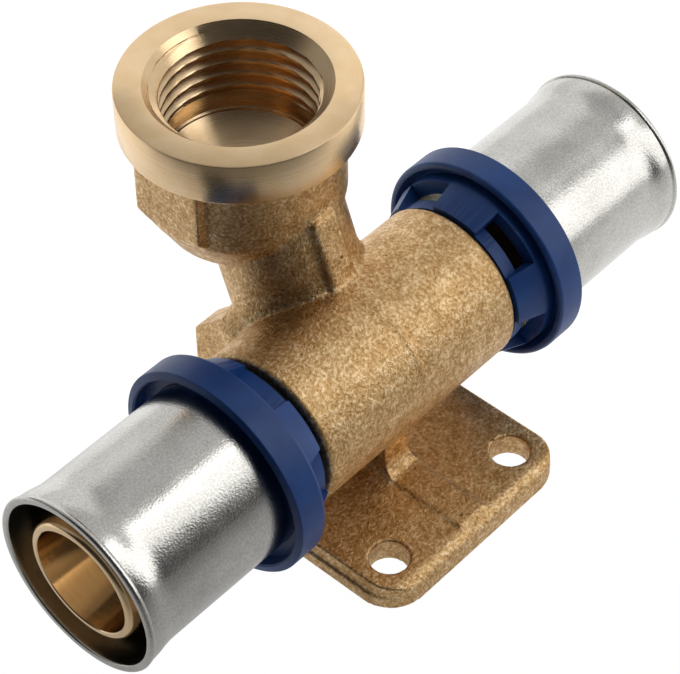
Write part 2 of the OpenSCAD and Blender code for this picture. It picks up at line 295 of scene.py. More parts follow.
def add_node(tree: bpy.types.NodeTree, kind: str, links: dict[str | int, object] | None = None,
             **settings: object) -> bpy.types.Node:
    """Adds one node with its settings and what feeds it.

    Args:
        tree: the material's node tree.
        kind: Blender's type name for the node.
        links: input names or numbers, each with a socket to link or a value to set.
        settings: properties of the node itself.

    Returns:
        The new node.
    """
    node = tree.nodes.new(kind)
    for key, value in settings.items():
        setattr(node, key, value)
    for key, value in (links or {}).items():
        if isinstance(value, bpy.types.NodeSocket):
            tree.links.new(value, node.inputs[key])
        else:
            node.inputs[key].default_value = value
    return node


def ramp(tree: bpy.types.NodeTree, value: bpy.types.NodeSocket,
         stops: list[tuple[float, str]]) -> bpy.types.NodeSocket:
    """Colours a value by a ramp of hex colours and returns the colour socket."""
    node = add_node(tree, "ShaderNodeValToRGB", {"Fac": value})
    elements = node.color_ramp.elements
    while len(elements) < len(stops):
        elements.new(0.5)
    for element, (position, code) in zip(elements, stops):
        element.position = position
        element.color = linear(code)
    return node.outputs["Color"]


def spread(tree: bpy.types.NodeTree, value: bpy.types.NodeSocket, low: float, high: float,
           to_low: float = 0.0, to_high: float = 1.0) -> bpy.types.NodeSocket:
    """Stretches a value from one span to another, clamped, and returns the socket."""
    node = add_node(tree, "ShaderNodeMapRange", {"Value": value, "From Min": low, "From Max": high,
                                                 "To Min": to_low, "To Max": to_high})
    return node.outputs["Result"]


def noise(tree: bpy.types.NodeTree, vector: bpy.types.NodeSocket, size_mm: float, detail: float = 2.0,
          roughness: float = 0.5) -> bpy.types.NodeSocket:
    """Returns the value of a noise whose cells have a real size in millimetres."""
    node = add_node(tree, "ShaderNodeTexNoise", {"Vector": vector, "Scale": per_metre(size_mm), "Detail": detail,
                                                 "Roughness": roughness})
    return node.outputs["Fac"]


def noise_vector(tree: bpy.types.NodeTree, vector: bpy.types.NodeSocket, size_mm: float) -> bpy.types.NodeSocket:
    """Returns the colour of a noise, used to bend the coordinates of another pattern."""
    node = add_node(tree, "ShaderNodeTexNoise", {"Vector": vector, "Scale": per_metre(size_mm), "Detail": 1.0})
    return node.outputs["Color"]


def times(tree: bpy.types.NodeTree, first: bpy.types.NodeSocket,
          second: bpy.types.NodeSocket) -> bpy.types.NodeSocket:
    """Returns the product of two values."""
    return add_node(tree, "ShaderNodeMath", {0: first, 1: second}, operation="MULTIPLY").outputs[0]


def blend(tree: bpy.types.NodeTree, first: bpy.types.NodeSocket, second: bpy.types.NodeSocket,
          share: float) -> bpy.types.NodeSocket:
    """Returns a value that is partly the first and, by a share, the second."""
    return add_node(tree, "ShaderNodeMix", {"Factor": share, 2: first, 3: second}, data_type="FLOAT").outputs[0]


def bump(tree: bpy.types.NodeTree, height: bpy.types.NodeSocket, depth_mm: float,
         under: bpy.types.NodeSocket | None = None) -> bpy.types.NodeSocket:
    """Returns a normal that a height from 0 to 1 presses in to a real depth.

    Args:
        tree: the material's node tree.
        height: the height's socket.
        depth_mm: depth between height 0 and 1, in millimetres.
        under: a normal that this one adds to.

    Returns:
        The normal's socket.
    """
    links: dict[str | int, object] = {"Height": height, "Distance": mm(depth_mm), "Strength": 1.0}
    if under is not None:
        links["Normal"] = under
    return add_node(tree, "ShaderNodeBump", links).outputs["Normal"]


def object_point(tree: bpy.types.NodeTree) -> bpy.types.NodeSocket:
    """Returns the Object coordinates, which are metres in the frame of the part."""
    return add_node(tree, "ShaderNodeTexCoord").outputs["Object"]


def reach_along(tree: bpy.types.NodeTree, vector: bpy.types.NodeSocket,
                direction: Point) -> bpy.types.NodeSocket:
    """Returns how far a vector reaches along a direction, as their dot product."""
    node = add_node(tree, "ShaderNodeVectorMath", {0: vector, 1: direction}, operation="DOT_PRODUCT")
    return node.outputs["Value"]


@dataclass(frozen=True)
class Finish:
    """A surface: what it is made of and how it was made."""

    name: str

    def build(self) -> bpy.types.Material:
        """Makes the material's node tree and returns the material."""
        material = bpy.data.materials.new(self.name)
        material.use_nodes = True
        tree = material.node_tree
        tree.nodes.clear()
        shader = add_node(tree, "ShaderNodeBsdfPrincipled")
        add_node(tree, "ShaderNodeOutputMaterial", {"Surface": shader.outputs["BSDF"]})
        self.dress(tree, shader)
        return material

    def dress(self, tree: bpy.types.NodeTree, shader: bpy.types.Node) -> None:
        """Feeds the shader's sockets. Each finish has its own."""
        raise NotImplementedError


@dataclass(frozen=True)
class SandCastBrass(Finish):
    """Brass as it leaves a sand mould and a shot blast.

    The metal is bright under a skin that the sand has pressed full of grains of about 0.4 mm. The
    grains catch the light one by one. Where the mould was rubbed the skin is smoother, and a few
    pits hold brown oxide. Their outlines are bent, so that no pit is a round hole.
    """

    grain_mm: float = 0.42
    lump_mm: float = 1.5
    patch_mm: float = 4.5
    pit_mm: float = 2.3
    pit_group_mm: float = 2.6
    bend_mm: float = 0.3
    bend_cell_mm: float = 1.1
    dull_colour: str = "#A67E4B"
    skin_colour: str = "#D2AB76"
    bright_colour: str = "#FADFB4"
    pit_colour: str = "#7C5B33"
    grain_depth: float = 0.14
    lump_depth: float = 0.07
    pit_depth: float = 0.06
    rough_rubbed: float = 0.38
    rough_skin: float = 0.47

    def dress(self, tree: bpy.types.NodeTree, shader: bpy.types.Node) -> None:
        """Feeds the shader with grains, rubbed patches and pits."""
        point = object_point(tree)
        bend = (mm(self.bend_mm),) * 3
        bent = add_node(tree, "ShaderNodeVectorMath",
                        {0: noise_vector(tree, point, self.bend_cell_mm), 1: bend, 2: point},
                        operation="MULTIPLY_ADD").outputs[0]
        grain = noise(tree, point, self.grain_mm, 3.0, 0.7)
        lumps = noise(tree, point, self.lump_mm, 3.0, 0.6)
        rubbed = spread(tree, noise(tree, point, self.patch_mm, 3.0), 0.38, 0.62)
        holes = add_node(tree, "ShaderNodeTexVoronoi", {"Vector": bent, "Scale": per_metre(self.pit_mm)})
        rare = spread(tree, noise(tree, point, self.pit_group_mm, 0.0), 0.6, 0.64)
        pit = times(tree, spread(tree, holes.outputs["Distance"], 0.05, 0.14, 1.0, 0.0), rare)
        shade = ramp(tree, blend(tree, grain, lumps, 0.3),
                     [(0.35, self.dull_colour), (0.5, self.skin_colour), (0.64, self.bright_colour)])
        dark = add_node(tree, "ShaderNodeMix", {"Factor": pit, 6: shade, 7: linear(self.pit_colour)},
                        data_type="RGBA")
        tree.links.new(dark.outputs[2], shader.inputs["Base Color"])
        shader.inputs["Metallic"].default_value = 1.0
        tree.links.new(spread(tree, rubbed, 0.0, 1.0, self.rough_skin, self.rough_rubbed), shader.inputs["Roughness"])
        fine = bump(tree, grain, self.grain_depth, bump(tree, lumps, self.lump_depth))
        tree.links.new(bump(tree, pit, -self.pit_depth, fine), shader.inputs["Normal"])


@dataclass(frozen=True)
class TurnedBrass(Finish):
    """Brass cut bright on a lathe.

    The tool leaves rings a few hundredths of a millimetre apart. They are drawn at 0.16 mm, as
    finer ones don't show. The rings too fine to draw scatter light across the cut and not along
    it, so reflections are pulled out along the axis on a side and along the radius on a face.
    """

    centre: Point = (0.0, 0.0, 0.0)
    along: str = "Z"
    feed_mm: float = 0.16
    base: str = "#F0D2A8"
    dull: str = "#EACA9D"
    ring_depth: float = 0.0035
    stain_mm: float = 3.0
    pull: float = 0.9
    rough: float = 0.24

    def dress(self, tree: bpy.types.NodeTree, shader: bpy.types.Node) -> None:
        """Feeds the shader with tool rings that follow the axis and the radius."""
        point = object_point(tree)
        offset = add_node(tree, "ShaderNodeVectorMath", {0: point, 1: tuple(mm(-c) for c in self.centre)},
                          operation="ADD")
        parts = add_node(tree, "ShaderNodeSeparateXYZ", {0: offset.outputs[0]})
        across = [name for name in "XYZ" if name != self.along]
        flat = add_node(tree, "ShaderNodeCombineXYZ", {0: parts.outputs[across[0]], 1: parts.outputs[across[1]]})
        radius = add_node(tree, "ShaderNodeVectorMath", {0: flat.outputs[0]}, operation="LENGTH").outputs["Value"]
        cut_at = add_node(tree, "ShaderNodeCombineXYZ", {0: radius, 1: parts.outputs[self.along]}).outputs[0]
        rings = noise(tree, cut_at, self.feed_mm, 2.0, 0.7)
        colour = ramp(tree, noise(tree, point, self.stain_mm), [(0.35, self.dull), (0.62, self.base)])
        tree.links.new(colour, shader.inputs["Base Color"])
        shader.inputs["Metallic"].default_value = 1.0
        shader.inputs["Anisotropic"].default_value = self.pull
        # A quarter turn from the tangent, which runs round the axis, lies across the cut.
        shader.inputs["Anisotropic Rotation"].default_value = 0.25
        axis = tuple(float(name == self.along) for name in "XYZ")
        around = add_node(tree, "ShaderNodeVectorMath", {0: axis, 1: offset.outputs[0]}, operation="CROSS_PRODUCT")
        tree.links.new(around.outputs[0], shader.inputs["Tangent"])
        tree.links.new(spread(tree, rings, 0.3, 0.7, self.rough - 0.04, self.rough + 0.05),
                       shader.inputs["Roughness"])
        tree.links.new(bump(tree, rings, self.ring_depth), shader.inputs["Normal"])


@dataclass(frozen=True)
class SatinStainless(Finish):
    """Stainless steel tube, drawn and then tumbled to a satin.

    The tumbling leaves a fine speckle with no direction, over faint lines along the tube.
    """

    base: str = "#D2D0CB"
    dull: str = "#B6B4AE"
    speckle_mm: float = 0.26
    line_mm: float = 0.35
    cloud_mm: float = 5.0
    line_depth: float = 0.0015
    speckle_depth: float = 0.018

    def dress(self, tree: bpy.types.NodeTree, shader: bpy.types.Node) -> None:
        """Feeds the shader with speckle and drawn lines."""
        point = object_point(tree)
        speckle = noise(tree, point, self.speckle_mm, 1.0)
        drawn = add_node(tree, "ShaderNodeMapping", {"Vector": point, "Scale": (0.03, 1.0, 1.0)})
        lines = noise(tree, drawn.outputs[0], self.line_mm)
        cloud = noise(tree, point, self.cloud_mm)
        tone = blend(tree, cloud, speckle, 0.55)
        tree.links.new(ramp(tree, tone, [(0.35, self.dull), (0.62, self.base)]), shader.inputs["Base Color"])
        shader.inputs["Metallic"].default_value = 1.0
        tree.links.new(spread(tree, cloud, 0.3, 0.7, 0.19, 0.24), shader.inputs["Roughness"])
        drawn_bump = bump(tree, lines, self.line_depth)
        tree.links.new(bump(tree, speckle, self.speckle_depth, drawn_bump), shader.inputs["Normal"])


@dataclass(frozen=True)
class MouldedPlastic(Finish):
    """Glass-filled nylon from an eroded mould: matt, with a fine even grain."""

    base: str = "#133E80"
    worn: str = "#1A4B90"
    rough: float = 0.42
    shine: float = 0.4
    grain_mm: float = 0.22
    flow_mm: float = 4.0
    grain_depth: float = 0.012

    def dress(self, tree: bpy.types.NodeTree, shader: bpy.types.Node) -> None:
        """Feeds the shader with a fine grain and a slow change of tone."""
        point = object_point(tree)
        grain = noise(tree, point, self.grain_mm)
        flow = noise(tree, point, self.flow_mm)
        tree.links.new(ramp(tree, flow, [(0.35, self.base), (0.7, self.worn)]), shader.inputs["Base Color"])
        shader.inputs["Specular IOR Level"].default_value = self.shine
        tree.links.new(spread(tree, grain, 0.3, 0.7, self.rough - 0.05, self.rough + 0.07),
                       shader.inputs["Roughness"])
        tree.links.new(bump(tree, grain, self.grain_depth), shader.inputs["Normal"])


@dataclass(frozen=True)
class SealRubber(Finish):
    """Moulded rubber with a dull, slightly greasy skin."""

    base: str = "#121214"
    worn: str = "#1D1D20"
    skin_mm: float = 0.6
    skin_depth: float = 0.01

    def dress(self, tree: bpy.types.NodeTree, shader: bpy.types.Node) -> None:
        """Feeds the shader with a soft uneven skin."""
        point = object_point(tree)
        skin = noise(tree, point, self.skin_mm, 3.0)
        tree.links.new(ramp(tree, skin, [(0.3, self.base), (0.7, self.worn)]), shader.inputs["Base Color"])
        tree.links.new(spread(tree, skin, 0.3, 0.7, 0.5, 0.7), shader.inputs["Roughness"])
        tree.links.new(bump(tree, skin, self.skin_depth), shader.inputs["Normal"])


def dress(piece: bpy.types.Object, material: bpy.types.Material) -> None:
    """Gives a piece one material in all its slots."""
    if not piece.data.materials:
        piece.data.materials.append(material)
    for slot in piece.material_slots:
        slot.material = material


# ---------------------------------------------------------------- the part


@dataclass
class Layout:
    """Sizes that the pieces share, in millimetres, as in the part's source."""

    axis_h: float = 19.5
    outlet_offset: float = 18.5
    outlet_h: float = 52.0
    tube_end: float = 16.6
    water_r: float = 5.8
    nipple_r: float = 8.0
    nipple_reach: float = 46.6
    hub_in: float = 17.5

    def pipe_lathe(self, side: Side) -> Lathe:
        """Returns the lathe about the pipe axis, counting outwards on one side."""
        return Lathe((0.0, 0.0, self.axis_h), (float(side.value), 0.0, 0.0), (0.0, 0.0, 1.0))

    def outlet_lathe(self) -> Lathe:
        """Returns the lathe about the outlet's axis, counting up from the wall."""
        return Lathe((0.0, self.outlet_offset, 0.0), (0.0, 0.0, 1.0), (1.0, 0.0, 0.0))


@dataclass
class Casting:
    """The rough part of the body: the tube, the neck and the cup, as one sand casting."""

    layout: Layout
    voxel: float = 0.22
    soften: int = 4
    soften_seam: int = 18
    seam: Space = ((-4.5, -5.0, 28.0), (4.5, 14.0, 46.0))
    kept_share: float = 0.47
    cup_inner_r: float = 11.3
    cup_outer_r: float = 12.6
    ring_low_h: float = 46.1
    ring_seat_h: float = 47.8
    bore_low_h: float = 33.5
    bore_low_r: float = 10.4
    bore_full_h: float = 36.0
    clear_of_nipple: float = 10.2
    clear_of_ring: float = 16.0
    tube_r: float = 10.65
    scar_h: float = 0.12
    scar_w: float = 0.9
    scar_from_r: float = 8.0

    def build(self, finish: bpy.types.Material) -> bpy.types.Object:
        """Makes the casting from its two solids and softens its edges.

        Args:
            finish: the material of the rough skin.

        Returns:
            The casting.
        """
        run = solid_copy("body")
        outlet = solid_copy("neck_and_outlet")
        for tool in self.nipple_tools():
            cut(run, tool)
        for tool in self.outlet_tools():
            cut(outlet, tool)
        piece = join([run, outlet, self.parting_scar()])
        piece.name = "casting"
        end = self.layout.tube_end - 0.8
        low, high = EVERYWHERE
        between_ends = ((-end, *low[1:]), (end, *high[1:]))
        passes = [(EVERYWHERE, 1), (between_ends, self.soften), (self.seam, self.soften_seam)]
        soften_casting(piece, self.voxel, self.kept_share, passes)
        dress(piece, finish)
        return piece

    def nipple_tools(self) -> list[bpy.types.Object]:
        """Returns the tools that take off both nipples, which are turned later."""
        start = self.layout.tube_end - 0.01
        end = self.layout.nipple_reach + 3.4
        profile = [(0.0, start), (self.clear_of_nipple, start), (self.clear_of_nipple, end), (0.0, end)]
        return [self.layout.pipe_lathe(side).turn("nipple_tool", profile, steps=48) for side in Side]

    def outlet_tools(self) -> list[bpy.types.Object]:
        """Returns the tools that take off the outlet's ring and open its bore for the turned piece."""
        lathe = self.layout.outlet_lathe()
        above = self.layout.outlet_h + 1.0
        ring = [(self.cup_outer_r, self.ring_low_h), (self.clear_of_ring, self.ring_low_h),
                (self.clear_of_ring, above), (self.cup_inner_r, above),
                (self.cup_inner_r, self.ring_seat_h), (self.cup_outer_r, self.ring_seat_h)]
        bore = [(0.0, self.bore_low_h), (self.bore_low_r, self.bore_low_h), (self.cup_inner_r, self.bore_full_h),
                (self.cup_inner_r, above), (0.0, above)]
        return [lathe.turn("ring_tool", ring, steps=64), lathe.turn("bore_tool", bore, steps=64)]

    def parting_scar(self) -> bpy.types.Object:
        """Returns the low line around the tube where the two halves of the mould met."""
        lathe = self.layout.pipe_lathe(Side.RIGHT)
        radius = self.tube_r + self.scar_h
        half = self.scar_w / 2
        profile = [(self.scar_from_r, -half), (radius - 0.1, -half), (radius, -0.1), (radius, 0.1),
                   (radius - 0.1, half), (self.scar_from_r, half)]
        return lathe.turn("parting_scar", profile, steps=96)


@dataclass
class WallFoot:
    """The plate and the web under the tube, from the same casting, with less rounded edges."""

    voxel: float = 0.18
    soften: int = 4
    soften_strip: int = 12
    strip: Space = ((-3.4, -17.5, 3.0), (3.4, -7.0, 4.6))
    kept_share: float = 0.5

    def build(self, finish: bpy.types.Material) -> bpy.types.Object:
        """Softens the edges of the foot as the sand leaves them and returns it."""
        piece = solid_copy("wall_foot")
        passes = [(EVERYWHERE, self.soften), (self.strip, self.soften_strip)]
        soften_casting(piece, self.voxel, self.kept_share, passes)
        piece.name = "wall_foot_casting"
        dress(piece, finish)
        return piece


@dataclass
class OutletTurning:
    """The turned ring of the outlet with its mouth, thread, runout groove and smooth bore."""

    layout: Layout
    ring_r: float = 14.5
    ring_h: float = 5.8
    chamfer: float = 0.35
    mouth_r: float = 11.15
    root_r: float = 10.48
    crest_r: float = 9.32
    pitch: float = 1.814
    thread_start: float = 0.67
    thread_l: float = 10.6
    thread_rows: int = 124
    runout_r: float = 10.9
    runout_w: float = 1.6
    floor_r: float = 9.5
    floor_depth: float = 18.2
    cone_depth: float = 12.7
    cone_end: float = 16.1
    cone_r: float = 4.0
    seat_r: float = 12.2
    shell_r: float = 11.5
    shell_h: float = 36.0
    shell_low_r: float = 10.6
    first_groove: float = 0.17
    passage_lean: float = 20.0
    passage_y: float = 7.845
    passage_r: float = 5.2
    passage_span: tuple[float, float] = (6.0, 20.0)
    steps: int = 180

    def build(self, finish: bpy.types.Material) -> bpy.types.Object:
        """Turns the ring and bore and cuts the thread.

        Args:
            finish: the material of the turned faces.

        Returns:
            The turned outlet.
        """
        top = self.layout.outlet_h
        low = top - self.ring_h
        groove = top - self.thread_l
        step = groove - self.runout_w
        low_side = top - self.floor_depth - 0.25
        cut_l = self.thread_l - self.thread_start
        thread = [(self.root_r, top - self.thread_start - cut_l * i / self.thread_rows)
                  for i in range(self.thread_rows + 1)]
        c = self.chamfer
        profile = (
            [(0.0, top - self.cone_end), (self.cone_r, top - self.cone_end), (self.floor_r, top - self.cone_depth),
             (self.floor_r, step - 0.2), (self.floor_r + 0.2, step),
             (self.runout_r, step), (self.runout_r, groove - 0.3)]
            + thread[::-1]
            + [(self.mouth_r, top), (self.ring_r - c, top), (self.ring_r - 0.1, top - 0.1), (self.ring_r, top - c),
               (self.ring_r, low + c), (self.ring_r - 0.1, low + 0.1), (self.ring_r - c, low), (self.seat_r, low),
               (self.shell_r, self.shell_h), (self.shell_low_r, low_side), (0.0, low_side)]
        )
        piece = self.layout.outlet_lathe().turn("outlet_turning", profile, steps=self.steps)
        self.cut_thread(piece)
        cut(piece, self.passage_tool())
        shade_smooth(piece, 35.0)
        dress(piece, finish)
        return piece

    def cut_thread(self, piece: bpy.types.Object) -> None:
        """Moves the bore's wall to the form of the thread: flat crests, sloped flanks, narrow roots."""
        top = self.layout.outlet_h
        groove = top - self.thread_l
        for vertex in piece.data.vertices:
            x = vertex.co.x * 1000.0
            y = vertex.co.y * 1000.0 - self.layout.outlet_offset
            z = vertex.co.z * 1000.0
            radius = math.hypot(x, y)
            if abs(radius - self.root_r) > 0.01 or not groove - 0.01 < z < top - 0.6:
                continue
            phase = ((top - z) / self.pitch - math.atan2(y, x) / (2 * math.pi) - self.first_groove) % 1.0
            wanted = self.root_r - (self.root_r - self.crest_r) * self.height(phase)
            wanted = max(wanted, self.mouth_r - (top - z), self.root_r - max(0.0, z - groove) * 1.1)
            wanted = min(wanted, self.root_r)
            vertex.co.x = mm(x * wanted / radius)
            vertex.co.y = mm(self.layout.outlet_offset + y * wanted / radius)

    @staticmethod
    def height(phase: float) -> float:
        """Returns how far the thread stands out at a phase of its pitch, from 0 at the root to 1 at the crest."""
        distance = abs(phase - 0.5) * 2.0
        return min(1.0, max(0.0, (0.9 - distance) / 0.66))

    def passage_tool(self) -> bpy.types.Object:
        """Returns the tool for the passage that comes up the leaning neck."""
        lean = math.radians(self.passage_lean)
        start, end = self.passage_span
        lathe = Lathe((0.0, self.passage_y, self.layout.axis_h), (0.0, math.sin(lean), math.cos(lean)), (1.0, 0.0, 0.0))
        profile = [(0.0, start), (self.passage_r, start), (self.passage_r, end), (0.0, end)]
        return lathe.turn("passage_tool", profile, steps=64)


@dataclass
class Nipple:
    """One turned nipple with its seal grooves, holding ridges and tapered mouth."""

    layout: Layout
    side: Side
    groove_depth: float = 1.25
    groove_w: float = 2.5
    seal_first: float = 28.0
    seal_pitch: float = 6.5
    ridges: int = 3
    ridge_pitch: float = 1.6
    ridge_h: float = 0.3
    mouth_r: float = 6.95
    mouth_l: float = 6.0

    def build(self, finish: bpy.types.Material) -> bpy.types.Object:
        """Turns the nipple and returns it."""
        place = self.layout
        r = place.nipple_r
        tip = place.nipple_reach
        floor = r - self.groove_depth
        half = self.groove_w / 2
        start = place.tube_end - 0.5
        mouth_r, water_r, mouth_in = self.mouth_r, place.water_r, tip - self.mouth_l
        outside: Profile = [(r, start)]
        for seal in (self.seal_first, self.seal_first + self.seal_pitch):
            outside += [(r, seal - half), (floor, seal - half + 0.05), (floor, seal + half - 0.05), (r, seal + half)]
        ridge = self.seal_first + self.seal_pitch + half + 1.0
        for index in range(self.ridges):
            at = ridge + index * self.ridge_pitch
            outside += [(r - self.ridge_h, at), (r, at + 1.4), (r, at + 1.58)]
        rounded_tip = [(r, tip - 0.5), (r - 0.12, tip - 0.22), (r - 0.38, tip - 0.02), (r - 0.5, tip)]
        mouth = [(mouth_r + 0.12, tip), (mouth_r, tip - 0.1), (mouth_r - 0.06, tip - 0.5),
                 (water_r + 0.35, mouth_in + 0.6), (water_r + 0.06, mouth_in + 0.15), (water_r, mouth_in)]
        profile = outside + rounded_tip + mouth + [(water_r, start)]
        piece = place.pipe_lathe(self.side).turn(f"{self.side.word}_nipple", profile, steps=160)
        shade_smooth(piece, 35.0)
        dress(piece, finish)
        return piece


@dataclass
class PressSleeve:
    """The thin stainless sleeve with its S-shaped bend and rounded lip."""

    layout: Layout
    side: Side
    outer_r: float = 11.3
    wall: float = 0.8
    reach: float = 47.3
    start: float = 20.9
    lip_r: float = 11.97
    lip_w: float = 0.8
    lip_h: float = 0.2
    lip_round: float = 0.34
    lip_round_in: float = 0.3
    bend_l: float = 4.4

    def build(self, finish: bpy.types.Material) -> bpy.types.Object:
        """Turns the sleeve and returns it."""
        lip_x = self.reach - self.lip_w
        top_r = self.lip_r - self.lip_h
        sweep = 2 * math.degrees(math.atan((top_r - self.outer_r) / self.bend_l))
        bend = self.bend_l / (2 * math.sin(math.radians(sweep)))
        start = lip_x - self.bend_l
        inner = self.outer_r - self.wall
        profile = (
            [(inner, self.start + 0.15), (inner + 0.15, self.start), (self.outer_r - 0.15, self.start),
             (self.outer_r, self.start + 0.15)]
            + arc(self.outer_r + bend, start, bend, 180.0, 180.0 - sweep, 8)
            + arc(top_r - bend, lip_x, bend, -sweep, 0.0, 8)
            + [(top_r + 0.05, lip_x + 0.03), (self.lip_r - 0.06, lip_x + 0.12)]
            + arc(self.lip_r - self.lip_round, self.reach - self.lip_round, self.lip_round, 0.0, 90.0, 6)
            + arc(top_r - self.wall + self.lip_round_in, self.reach - self.lip_round_in, self.lip_round_in,
                  90.0, 180.0, 6)
            + arc(top_r - bend, lip_x, bend - self.wall, 0.0, -sweep, 8)
            + arc(self.outer_r + bend, start, bend + self.wall, 180.0 - sweep, 180.0, 8)
        )
        piece = self.layout.pipe_lathe(self.side).turn(f"{self.side.word}_press_sleeve", profile, steps=192)
        shade_smooth(piece, 40.0)
        dress(piece, finish)
        return piece


@dataclass
class RetainingRing:
    """The moulded blue ring: toothed hub with windows, web, band and sleeve socket."""

    layout: Layout
    side: Side
    tooth_middle: float
    hub_r: float = 12.15
    socket_in: float = 20.9
    tooth_r: float = 10.9
    low_wall_r: float = 10.35
    tooth_l: float = 2.9
    low_wall_t: float = 1.1
    web_in: float = 22.6
    web_t: float = 1.0
    band_r: float = 14.0
    band_in: float = 21.2
    band_out: float = 25.5
    band_bore: float = 12.85
    band_round_in: float = 0.55
    band_round_out: float = 0.2
    socket_r: float = 11.35
    flange_r: float = 8.05
    pipe_r: float = 10.2
    teeth: int = 5
    skirt: float = 0.0
    skirt_r: float = 9.45

    def build(self, finish: bpy.types.Material) -> bpy.types.Object:
        """Turns the ring, cuts the windows between the teeth and rounds the edges."""
        place = self.layout
        lathe = place.pipe_lathe(self.side)
        hub_in = place.hub_in
        window = hub_in + self.low_wall_t
        web_out = self.web_in + self.web_t
        profile: Profile = [(self.flange_r, hub_in)]
        if self.skirt:
            profile += [(self.skirt_r, hub_in), (self.skirt_r, hub_in - self.skirt)]
        profile += [(self.tooth_r, hub_in - self.skirt), (self.hub_r, hub_in + self.tooth_l),
                    (self.hub_r, self.web_in - 0.4), (self.hub_r + 0.25, self.web_in - 0.1)]
        large, small = self.band_round_in, self.band_round_out
        profile += arc(self.band_r - large, self.band_in + large, large, -120.0, 0.0, 5)
        profile += arc(self.band_r - small, self.band_out - 0.4, small, 0.0, 75.0, 3)
        profile += [(self.band_bore + 0.2, self.band_out), (self.band_bore, self.band_out - 0.2),
                    (self.band_bore, web_out), (self.socket_r, web_out), (self.socket_r, self.socket_in),
                    (self.pipe_r, self.socket_in), (self.pipe_r, window), (self.flange_r, window)]
        share = 360.0 / self.teeth
        first = (self.tooth_middle - 90.0) * self.side.value
        piece = lathe.turn(f"{self.side.word}_ring", profile, steps=200, start=first)
        for index in range(self.teeth):
            cut(piece, self.window_tool(lathe, first + index * share + share / 4, share / 2))
        rounded_edges(piece, 0.1, 2, 28.0)
        shade_smooth(piece, 32.0)
        apply_modifier(piece, "WEIGHTED_NORMAL", keep_sharp=True, weight=50)
        dress(piece, finish)
        return piece

    def window_tool(self, lathe: Lathe, start: float, angle: float) -> bpy.types.Object:
        """Returns a block in the form of a sector, as wide as one gap between teeth.

        It lowers the wall beside the tube and opens the window behind it.

        Args:
            lathe: the ring's axis.
            start: angle of the first side, in degrees.
            angle: width of the gap, in degrees.

        Returns:
            The block.
        """
        hub_in = self.layout.hub_in
        window = hub_in + self.low_wall_t
        end = hub_in + self.tooth_l
        outer = self.hub_r + 1.0
        inner = self.flange_r + 1.0
        profile = [(self.low_wall_r, hub_in - 2.0), (outer, hub_in - 2.0), (outer, end),
                   (inner, end), (inner, window), (self.low_wall_r, window)]
        return lathe.turn("window_tool", profile, steps=20, angle=angle, start=start)


# ---------------------------------------------------------------- studio


@dataclass(frozen=True)
class Softbox:
    """A rectangular soft light that faces the object.

    Azimuth is counted from +X towards +Y, roll from level, both in degrees. Distance and size are
    in millimetres, and the level is how bright the box looks, where 1 is white.
    """

    name: str
    azimuth: float
    elevation: float
    distance: float
    roll: float
    width: float
    height: float
    level: float

    def hang(self) -> None:
        """Adds the light to the scene."""
        data = bpy.data.lights.new(self.name, "AREA")
        data.shape = "RECTANGLE"
        data.size, data.size_y = mm(self.width), mm(self.height)
        data.energy = self.level * math.pi * data.size * data.size_y
        lamp = bpy.data.objects.new(self.name, data)
        bpy.context.scene.collection.objects.link(lamp)
        az, el, roll = (math.radians(v) for v in (self.azimuth, self.elevation, self.roll))
        back = Vector((math.cos(el) * math.cos(az), math.cos(el) * math.sin(az), math.sin(el)))
        level = Vector((0.0, 0.0, 1.0)).cross(back).normalized()
        across = level * math.cos(roll) + back.cross(level) * math.sin(roll)
        turn = Matrix((across, back.cross(across), back)).transposed().to_4x4()
        lamp.matrix_world = Matrix.Translation(back * mm(self.distance) + Vector((0.0, 0.0, 0.02))) @ turn


